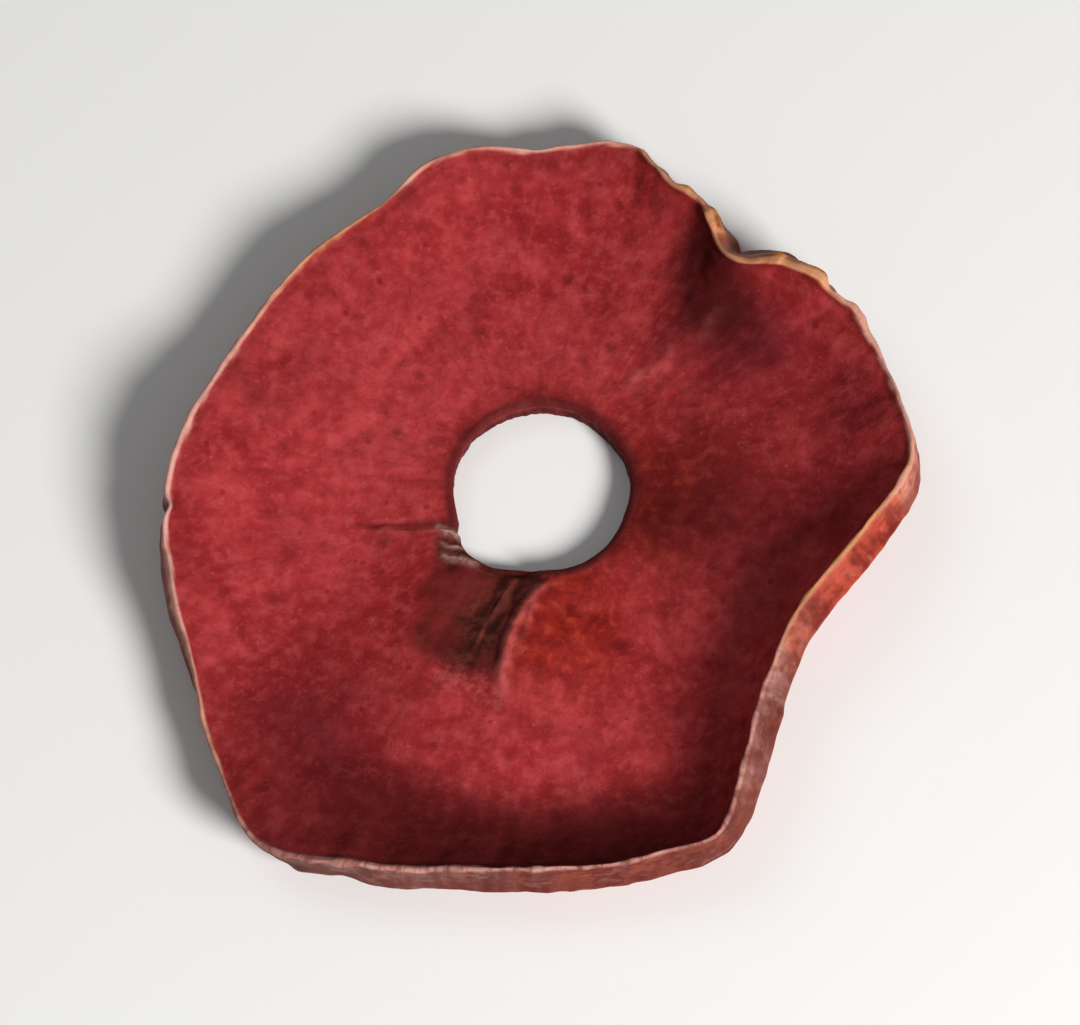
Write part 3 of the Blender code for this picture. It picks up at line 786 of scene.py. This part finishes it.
# ---------------------------------------------------------------------------
# Materials
# ---------------------------------------------------------------------------
class Graph:
    """Short calls for building a material's nodes."""

    def __init__(self, name):
        self.mat = bpy.data.materials.new(name)
        self.mat.use_nodes = True
        self.tree = self.mat.node_tree
        self.bsdf = self.tree.nodes["Principled BSDF"]
        self.coord = self.tree.nodes.new("ShaderNodeTexCoord").outputs["Object"]

    def put(self, socket, value):
        if isinstance(value, bpy.types.NodeSocket):
            self.tree.links.new(value, socket)
        elif isinstance(value, (tuple, list)) and len(value) == 3 and socket.type == "RGBA":
            socket.default_value = (*value, 1.0)
        else:
            socket.default_value = value

    def attr(self, name):
        node = self.tree.nodes.new("ShaderNodeAttribute")
        node.attribute_name = name
        return node.outputs["Fac"]

    def join(self, x, y, z):
        node = self.tree.nodes.new("ShaderNodeCombineXYZ")
        for socket, value in zip(node.inputs, (x, y, z)):
            self.put(socket, value)
        return node.outputs[0]

    def noise(self, mm, detail=2.0, rough=0.5, twist=0.0, vector=None, scale=None):
        node = self.tree.nodes.new("ShaderNodeTexNoise")
        self.put(node.inputs["Vector"], vector if vector is not None else self.coord)
        node.inputs["Scale"].default_value = scale if scale else 1000.0 / mm
        node.inputs["Detail"].default_value = detail
        node.inputs["Roughness"].default_value = rough
        node.inputs["Distortion"].default_value = twist
        return node.outputs["Fac"]

    def cells(self, mm, feature="F1", vector=None, scale=None, random=1.0):
        node = self.tree.nodes.new("ShaderNodeTexVoronoi")
        node.feature = feature
        self.put(node.inputs["Vector"], vector if vector is not None else self.coord)
        node.inputs["Scale"].default_value = scale if scale else 1000.0 / mm
        node.inputs["Randomness"].default_value = random
        return node

    def math(self, op, a, b=0.0, c=0.0, clamp=False):
        node = self.tree.nodes.new("ShaderNodeMath")
        node.operation = op
        node.use_clamp = clamp
        self.put(node.inputs[0], a)
        self.put(node.inputs[1], b)
        if len(node.inputs) > 2:
            self.put(node.inputs[2], c)
        return node.outputs[0]

    def span(self, value, low, high, to_low=0.0, to_high=1.0, smooth=True):
        node = self.tree.nodes.new("ShaderNodeMapRange")
        node.interpolation_type = "SMOOTHSTEP" if smooth else "LINEAR"
        self.put(node.inputs["Value"], value)
        node.inputs["From Min"].default_value = low
        node.inputs["From Max"].default_value = high
        node.inputs["To Min"].default_value = to_low
        node.inputs["To Max"].default_value = to_high
        return node.outputs["Result"]

    def mix(self, factor, a, b, blend="MIX"):
        node = self.tree.nodes.new("ShaderNodeMix")
        node.data_type = "RGBA"
        node.blend_type = blend
        node.clamp_factor = True
        self.put(node.inputs[0], factor)
        self.put(node.inputs[6], a)
        self.put(node.inputs[7], b)
        return node.outputs[2]

    def mul(self, a, b):
        return self.math("MULTIPLY", a, b)

    def bump(self, height, strength, mm, normal=None):
        node = self.tree.nodes.new("ShaderNodeBump")
        node.inputs["Strength"].default_value = strength
        node.inputs["Distance"].default_value = mm * MM
        self.put(node.inputs["Height"], height)
        if normal is not None:
            self.put(node.inputs["Normal"], normal)
        return node.outputs["Normal"]


def srgb(r, g, b):
    out = []
    for c in (r, g, b):
        c = c / 255.0
        out.append(c / 12.92 if c <= 0.04045 else ((c + 0.055) / 1.055) ** 2.4)
    return tuple(out)


def flesh_material():
    g = Graph("dried_apple_flesh")
    peel, near_peel, shaded_hole_edge = g.attr("peel"), g.attr("near_peel"), g.attr("shaded_hole_edge")
    shaded_hole_wall, core, in_pocket = g.attr("shaded_hole_wall"), g.attr("core"), g.attr("pocket")
    deep_shade, pale, groove_shade = g.attr("deep_shade"), g.attr("pale_ridge_and_highlight"), g.attr("groove_shade")
    spots, lenticel, lip = g.attr("spots"), g.attr("lenticel"), g.attr("lip")
    glow, pale_and_lit_flesh, dense_and_shade = g.attr("glow"), g.attr("pale_and_lit_flesh"), g.attr("dense_and_shade")
    crumbs = g.attr("crumbs")
    streak = g.join(g.attr("streak_x"), g.attr("streak_y"), g.mul(g.attr("outward"), 0.14))

    broad = g.noise(9.0, 2.0, 0.5, 0.4)
    cloud = g.noise(3.6, 2.0, 0.5, 0.5)
    mottle = g.noise(1.15, 2.6, 0.58, 0.15)
    fine = g.noise(0.50, 2.0, 0.6)
    ray = g.noise(1.0, 2.0, 0.55, vector=streak, scale=0.80)

    # crimson flesh: darker under painted shade and where it is dense, paler under painted light on top and at random on
    # the underside
    colour = g.mix(g.span(broad, 0.34, 0.66), srgb(140, 31, 35), srgb(154, 40, 43))
    colour = g.mix(g.mul(pale_and_lit_flesh, 0.80), colour, srgb(170, 54, 57))
    colour = g.mix(g.mul(dense_and_shade, 0.86), colour, srgb(98, 17, 18))
    colour = g.mix(g.mul(glow, 0.60), colour, srgb(138, 28, 12))
    light = g.math("SUBTRACT", 1.0, g.mul(g.math("MAXIMUM", dense_and_shade, glow), 0.45))
    colour = g.mix(g.mul(g.mul(g.span(cloud, 0.44, 0.70), 0.52), light), colour, srgb(176, 60, 62))
    colour = g.mix(g.mul(g.span(cloud, 0.50, 0.30), 0.34), colour, srgb(118, 18, 20))
    colour = g.mix(g.mul(g.mul(g.span(mottle, 0.46, 0.74), 0.38), light), colour, srgb(186, 76, 78))
    colour = g.mix(g.mul(g.span(mottle, 0.54, 0.28), 0.34), colour, srgb(106, 15, 18))
    colour = g.mix(g.mul(g.span(ray, 0.50, 0.74), 0.26), colour, srgb(116, 17, 20))
    colour = g.mix(g.mul(g.mul(g.span(fine, 0.56, 0.76), 0.22), light), colour, srgb(198, 98, 96))
    # bruised purple-brown clouds, mostly near the peel
    bruise = g.mul(g.span(g.noise(7.5, 2.0, 0.5, 0.8), 0.56, 0.70),
                   g.math("ADD", g.mul(near_peel, 0.50), 0.16))
    colour = g.mix(bruise, colour, srgb(98, 26, 34))
    colour = g.mix(g.mul(g.attr("bruised"), g.span(cloud, 0.36, 0.56, 0.25, 0.85)), colour, srgb(88, 17, 28))
    colour = g.mix(g.mul(near_peel, 0.34), colour, srgb(104, 28, 26))
    # juicy flesh keeps its own orange mottles
    juicy = g.mix(g.span(cloud, 0.36, 0.66), srgb(104, 13, 4), srgb(134, 26, 9))
    juicy = g.mix(g.mul(g.span(mottle, 0.50, 0.70), 0.56), juicy, srgb(184, 68, 40))
    juicy = g.mix(g.mul(g.span(mottle, 0.50, 0.30), 0.75), juicy, srgb(82, 6, 1))
    colour = g.mix(g.mul(glow, 0.92), colour, juicy)
    # painted shade and the densest flesh are darkest, mottles and all
    colour = g.mix(g.mul(dense_and_shade, 0.78), colour, srgb(58, 5, 6))
    # dark specks
    colour = g.mix(g.mul(spots, 0.60), colour, srgb(84, 9, 12))
    tiny = g.cells(1.9)
    speck = g.mul(g.span(tiny.outputs["Distance"], 0.19, 0.08),
                  g.span(g.noise(2.4, 1.0), 0.52, 0.58))
    colour = g.mix(g.mul(speck, 0.5), colour, srgb(92, 11, 14))
    # seed pocket: smooth mauve-brown lining, then painted shade in the recess, darkest at its right side
    lining = g.mix(g.span(g.noise(2.2, 3.0, 0.6, 0.5), 0.36, 0.66), srgb(72, 16, 12), srgb(98, 26, 23))
    colour = g.mix(g.mul(in_pocket, 0.90), colour, lining)
    shade = g.mix(g.span(g.noise(1.0, 3.0, 0.6, 0.4), 0.40, 0.62), srgb(46, 17, 8), srgb(90, 40, 30))
    colour = g.mix(g.mul(deep_shade, 0.84), colour, shade)
    colour = g.mix(g.mul(g.mul(crumbs, g.span(g.noise(0.7, 3.0, 0.6), 0.46, 0.62)), 0.42), colour, srgb(172, 84, 78))
    # ridge, crease, slit: painted highlight on the raised lines, which are partly paler tissue, and painted shade in
    # the grooves and the rim's nick
    colour = g.mix(g.mul(pale, g.span(mottle, 0.36, 0.60, 0.28, 0.66)), colour, srgb(194, 96, 90))
    colour = g.mix(g.mul(groove_shade, 0.60), colour, srgb(80, 12, 14))
    # painted shade on the rolled edge of the core hole and on the torn wall inside it
    colour = g.mix(g.mul(shaded_hole_edge, 0.78), colour, srgb(58, 12, 11))
    wall = g.mix(g.span(g.noise(0.9, 3.0, 0.6), 0.40, 0.66), srgb(48, 9, 9), srgb(96, 27, 24))
    colour = g.mix(g.mul(shaded_hole_wall, 0.90), colour, wall)

    # painted shade in the hollow beside it, with its pale ribs
    colour = g.mix(g.mul(g.attr("hollow_and_shade"), 0.86), colour, g.mix(g.span(mottle, 0.40, 0.62), srgb(44, 14, 9), srgb(80, 26, 20)))
    colour = g.mix(g.mul(g.attr("ribs"), 0.82), colour, g.mix(g.span(fine, 0.36, 0.62), srgb(148, 96, 89), srgb(194, 154, 144)))

    # peel: tan with gold, rose, a red blush and a mauve stretch in front
    round_x, round_y = g.attr("streak_x"), g.attr("streak_y")
    along = g.join(round_x, round_y, g.mul(g.attr("across_peel"), 1.7))
    lengthwise = g.join(g.mul(round_x, 0.24), g.mul(round_y, 0.24), g.mul(g.attr("across_peel"), 2.2))
    gold, blush, mauve, rosy = g.attr("gold"), g.attr("blush"), g.attr("mauve"), g.attr("rosy")
    patch = g.noise(1.0, 3.0, 0.6, vector=along, scale=0.42)
    cross = g.noise(1.0, 3.0, 0.6, vector=along, scale=1.05)
    thread = g.noise(1.0, 2.5, 0.6, vector=lengthwise, scale=1.7)
    swell = g.attr("lumps")
    skin = g.mix(g.span(patch, 0.36, 0.64), srgb(150, 84, 66), srgb(184, 122, 100))
    amber = g.mix(g.span(cross, 0.38, 0.62), srgb(150, 84, 34), srgb(198, 132, 70))
    skin = g.mix(g.mul(gold, g.span(swell, 0.35, 0.65, 0.30, 0.95)), skin, amber)
    skin = g.mix(g.mul(rosy, 0.72), skin, g.mix(g.span(cross, 0.38, 0.62), srgb(160, 88, 80), srgb(196, 136, 126)))
    skin = g.mix(g.mul(mauve, 0.90), skin, g.mix(g.span(patch, 0.38, 0.62), srgb(44, 13, 13), srgb(82, 35, 32)))
    skin = g.mix(g.mul(g.attr("ruddy"), 0.75), skin, g.mix(g.span(thread, 0.42, 0.60), srgb(92, 26, 22), srgb(138, 66, 50)))
    skin = g.mix(g.mul(g.attr("ashen"), 0.85), skin, g.mix(g.span(cross, 0.38, 0.62), srgb(128, 84, 78), srgb(168, 122, 114)))
    # painted shade: the lower half is browner and darker, most of all between the lumps
    lower_shade = g.span(g.math("ADD", g.attr("across_peel"), g.mul(g.math("SUBTRACT", patch, 0.5), 0.7)), 0.14, -0.20)
    lower_shade = g.mul(lower_shade, g.math("SUBTRACT", 1.0, g.math("MAXIMUM", g.mul(blush, 0.8), g.mul(mauve, 0.4))))
    skin = g.mix(g.mul(lower_shade, 0.74), skin, srgb(92, 36, 28))
    red = g.mix(g.span(patch, 0.38, 0.60), srgb(112, 22, 17), srgb(164, 52, 32))
    skin = g.mix(g.mul(blush, g.span(g.attr("across_peel"), 0.46, 0.22, 0.30, 0.88)), skin, red)
    skin = g.mix(g.mul(g.mul(g.span(cross, 0.56, 0.72), 0.22), g.math("SUBTRACT", 1.0, g.mul(mauve, 0.7))), skin, srgb(190, 130, 112))
    skin = g.mix(g.mul(g.span(thread, 0.53, 0.66), 0.42), skin, srgb(88, 30, 27))
    skin = g.mix(g.mul(g.mul(g.span(thread, 0.46, 0.34), 0.22), mauve), skin, srgb(160, 108, 102))
    # painted shade between the gold lumps
    skin = g.mix(g.mul(gold, g.mul(g.span(swell, 0.42, 0.22), 0.55)), skin, srgb(112, 48, 30))
    # painted shade in the rim's nick
    skin = g.mix(g.mul(groove_shade, 0.8), skin, srgb(60, 12, 12))
    lip_tone = g.mix(g.math("MAXIMUM", g.mul(gold, 0.6), blush), srgb(196, 140, 124), srgb(200, 142, 92))
    lip_tone = g.mix(g.mul(mauve, 0.85), lip_tone, g.mix(g.span(cross, 0.36, 0.56), srgb(118, 62, 57), srgb(184, 134, 125)))
    lip_tone = g.mix(g.mul(rosy, 0.8), lip_tone, srgb(208, 158, 148))
    upper = g.mul(lip, g.span(g.attr("across_peel"), 0.0, 0.3))
    skin = g.mix(g.mul(upper, g.span(thread, 0.30, 0.62, 0.90, 0.50)), skin, lip_tone)
    skin = g.mix(g.mul(lenticel, 0.8), skin, srgb(92, 34, 24))
    colour = g.mix(peel, colour, skin)

    g.put(g.bsdf.inputs["Base Color"], colour)

    rough = g.span(mottle, 0.3, 0.7, 0.82, 0.68, smooth=False)
    rough = g.math("SUBTRACT", rough, g.mul(peel, 0.22))
    rough = g.math("SUBTRACT", rough, g.mul(in_pocket, 0.08), clamp=True)
    g.put(g.bsdf.inputs["Roughness"], rough)

    height = g.math("ADD", g.mul(mottle, 0.9), g.mul(fine, 0.5))
    height = g.math("ADD", height, g.mul(g.noise(0.26, 0.0, 0.5), 0.22))
    height = g.math("ADD", height, g.mul(ray, 0.30))
    flat = g.math("SUBTRACT", 1.0, g.mul(g.math("MAXIMUM", in_pocket, peel), 0.7))
    n1 = g.bump(g.mul(height, flat), 0.55, 0.15)
    wrinkle = g.math("ADD", g.mul(g.noise(1.0, 3.0, 0.6, vector=along, scale=2.0), 0.6), g.mul(thread, 0.8))
    n2 = g.bump(g.mul(wrinkle, peel), 0.6, 0.14, n1)
    g.put(g.bsdf.inputs["Normal"], n2)

    b = g.bsdf.inputs
    b["Specular IOR Level"].default_value = 0.12
    b["Subsurface Weight"].default_value = 0.14
    b["Subsurface Radius"].default_value = (1.0, 0.20, 0.15)
    b["Subsurface Scale"].default_value = 0.0010
    return g.mat


def floor_material():
    g = Graph("pale_floor")
    g.bsdf.inputs["Base Color"].default_value = (0.80, 0.80, 0.79, 1.0)
    g.bsdf.inputs["Roughness"].default_value = 0.85
    g.bsdf.inputs["Specular IOR Level"].default_value = 0.2
    return g.mat


# ---------------------------------------------------------------------------
# Put the pieces into the frame
# ---------------------------------------------------------------------------
grid, prof, masks, facts = slice_grid()
skin_and_flesh = add_faces_mesh("dried_slice", grid, prof, masks, facts)
skin_and_flesh.data.materials.append(flesh_material())
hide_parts("apple_slice")
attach(skin_and_flesh, "root")

# ---------------------------------------------------------------------------
# Floor, light and camera
# ---------------------------------------------------------------------------
floor_mesh = bpy.data.meshes.new("floor")
floor_mesh.from_pydata([(-1.5, -1.5, 0), (1.5, -1.5, 0), (1.5, 1.5, 0), (-1.5, 1.5, 0)], [],
                       [(0, 1, 2, 3)])
floor = bpy.data.objects.new("floor", floor_mesh)
floor.location = (0.0, 0.0, -0.00003)
floor_mesh.materials.append(floor_material())
bpy.context.scene.collection.objects.link(floor)


def area_light(name, azimuth, elevation, distance, size, watts, colour=(1, 1, 1)):
    data = bpy.data.lights.new(name, "AREA")
    data.shape = "DISK"
    data.size = size
    data.energy = watts
    data.color = colour
    lamp = bpy.data.objects.new(name, data)
    a, e = math.radians(azimuth), math.radians(elevation)
    lamp.location = (distance * math.cos(e) * math.cos(a),
                     distance * math.cos(e) * math.sin(a), distance * math.sin(e))
    lamp.rotation_euler = (-Vector(lamp.location)).to_track_quat("-Z", "Y").to_euler()
    bpy.context.scene.collection.objects.link(lamp)
    return lamp


area_light("key", -46.0, 33.0, 0.80, 0.30, 9.9, (1.0, 0.985, 0.97))
area_light("fill", 140.0, 50.0, 1.0, 0.70, 1.2, (0.97, 0.985, 1.0))

world = bpy.context.scene.world or bpy.data.worlds.new("studio")
bpy.context.scene.world = world
world.use_nodes = True
background = world.node_tree.nodes.get("Background")
background.inputs["Color"].default_value = (1.0, 1.0, 1.0, 1.0)
background.inputs["Strength"].default_value = 0.16

CAMERA_ELEVATION = 67.0
CAMERA_DISTANCE = 0.50
aim = Vector((0.0, -0.0004, 0.003))
camera_data = bpy.data.cameras.new("camera")
camera_data.lens = 200.0
camera_data.clip_start = 0.01
camera = bpy.data.objects.new("camera", camera_data)
tilt = math.radians(CAMERA_ELEVATION)
camera.location = aim + Vector((0.0, -math.cos(tilt), math.sin(tilt))) * CAMERA_DISTANCE
camera.rotation_euler = (aim - camera.location).to_track_quat("-Z", "Y").to_euler()
bpy.context.scene.collection.objects.link(camera)
bpy.context.scene.camera = camera

bpy.context.scene.view_settings.view_transform = "Standard"
bpy.context.scene.view_settings.look = "None"
